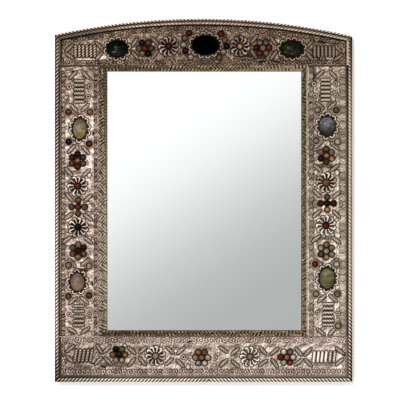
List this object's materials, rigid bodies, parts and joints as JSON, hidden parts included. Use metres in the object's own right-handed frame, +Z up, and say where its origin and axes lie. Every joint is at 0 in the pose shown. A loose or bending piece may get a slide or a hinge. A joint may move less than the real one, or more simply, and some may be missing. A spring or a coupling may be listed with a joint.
{
  "type": "wall mirror",
  "caption": "Wall mirror with a low arched frame in chased antiqued tin, rope edge, dark bevel and coloured cabochon stones; turn buttons hold the back, rings hang it.",
  "frame": {"origin": "middle of the bottom rail's back, on the wall plane, halfway up the bottom border", "axes": "+Z up along the wall, -Y out of the front towards the viewer, +X to the viewer's right"},
  "size_m": [0.445, 0.0266, 0.5434],
  "materials": {
    "core_wood": "sawn softwood",
    "dark_bevel_metal": "satin, dark olive patina",
    "chased_tin": "satin, antiqued",
    "rope_metal": "satin, antiqued",
    "silvered_glass": "polished",
    "card": "matte",
    "hardboard": "satin",
    "pin_steel": "satin",
    "fitting_steel": "satin, zinc plated",
    "garnet": "polished",
    "ruby": "polished",
    "amber": "polished",
    "olive": "polished",
    "jet": "polished",
    "smoky": "polished",
    "pearl": "polished",
    "top_centre_oval": "polished",
    "top_left_oval": "polished",
    "top_right_oval": "polished",
    "left_upper_oval": "polished",
    "left_lower_oval": "polished",
    "right_upper_oval": "polished",
    "right_lower_oval": "polished"
  },
  "bodies": {
    "frame": {"bottom_rail": "core_wood", "top_rail": "core_wood", "left_stile": "core_wood", "right_stile": "core_wood", "corner_dowels": "core_wood", "slip_bottom": "core_wood", "slip_top": "core_wood", "slip_left": "core_wood", "slip_right": "core_wood", "bevel_bottom": "dark_bevel_metal", "bevel_top": "dark_bevel_metal", "bevel_left": "dark_bevel_metal", "bevel_right": "dark_bevel_metal", "top_sheet": "chased_tin", "bottom_sheet": "chased_tin", "left_sheet": "chased_tin", "right_sheet": "chased_tin", "edge_pins": "pin_steel", "rope_bottom": "rope_metal", "rope_left": "rope_metal", "rope_right": "rope_metal", "rope_top": "rope_metal", "mirror_glass": "silvered_glass", "card_filler": "card", "backing_board": "hardboard", "button_screws": "fitting_steel", "hanger_strap_left": "fitting_steel", "hanger_strap_right": "fitting_steel", "hanger_screws": "fitting_steel", "top_centre_oval": "top_centre_oval", "top_left_oval": "top_left_oval", "top_right_oval": "top_right_oval", "left_upper_oval": "left_upper_oval", "left_lower_oval": "left_lower_oval", "right_upper_oval": "right_upper_oval", "right_lower_oval": "right_lower_oval", "garnet_stones": "garnet", "ruby_stones": "ruby", "amber_stones": "amber", "olive_stones": "olive", "jet_stones": "jet", "smoky_stones": "smoky", "pearl_stones": "pearl"},
    "button_upper_left": {"turn_button_upper_left": "fitting_steel"},
    "button_upper_right": {"turn_button_upper_right": "fitting_steel"},
    "button_lower_left": {"turn_button_lower_left": "fitting_steel"},
    "button_lower_right": {"turn_button_lower_right": "fitting_steel"},
    "ring_left": {"hanger_ring_left": "fitting_steel"},
    "ring_right": {"hanger_ring_right": "fitting_steel"}
  },
  "joints": [
    {"name": "button_upper_left_turn", "type": "hinge", "parent": "frame", "child": "button_upper_left", "pos_m": [-0.1628, -0.00395, 0.31065], "axis": [0, 1, 0], "continuous": true},
    {"name": "button_upper_right_turn", "type": "hinge", "parent": "frame", "child": "button_upper_right", "pos_m": [0.1652, -0.00395, 0.31065], "axis": [0, 1, 0], "continuous": true},
    {"name": "button_lower_left_turn", "type": "hinge", "parent": "frame", "child": "button_lower_left", "pos_m": [-0.1628, -0.00395, 0.11165], "axis": [0, 1, 0], "continuous": true},
    {"name": "button_lower_right_turn", "type": "hinge", "parent": "frame", "child": "button_lower_right", "pos_m": [0.1652, -0.00395, 0.11165], "axis": [0, 1, 0], "continuous": true},
    {"name": "ring_left_swing", "type": "hinge", "parent": "frame", "child": "ring_left", "pos_m": [-0.189, -0.0029, 0.39065], "axis": [1, 0, 0], "range_deg": [0, 180]},
    {"name": "ring_right_swing", "type": "hinge", "parent": "frame", "child": "ring_right", "pos_m": [0.18835, -0.0029, 0.39065], "axis": [1, 0, 0], "range_deg": [0, 180]}
  ]
}
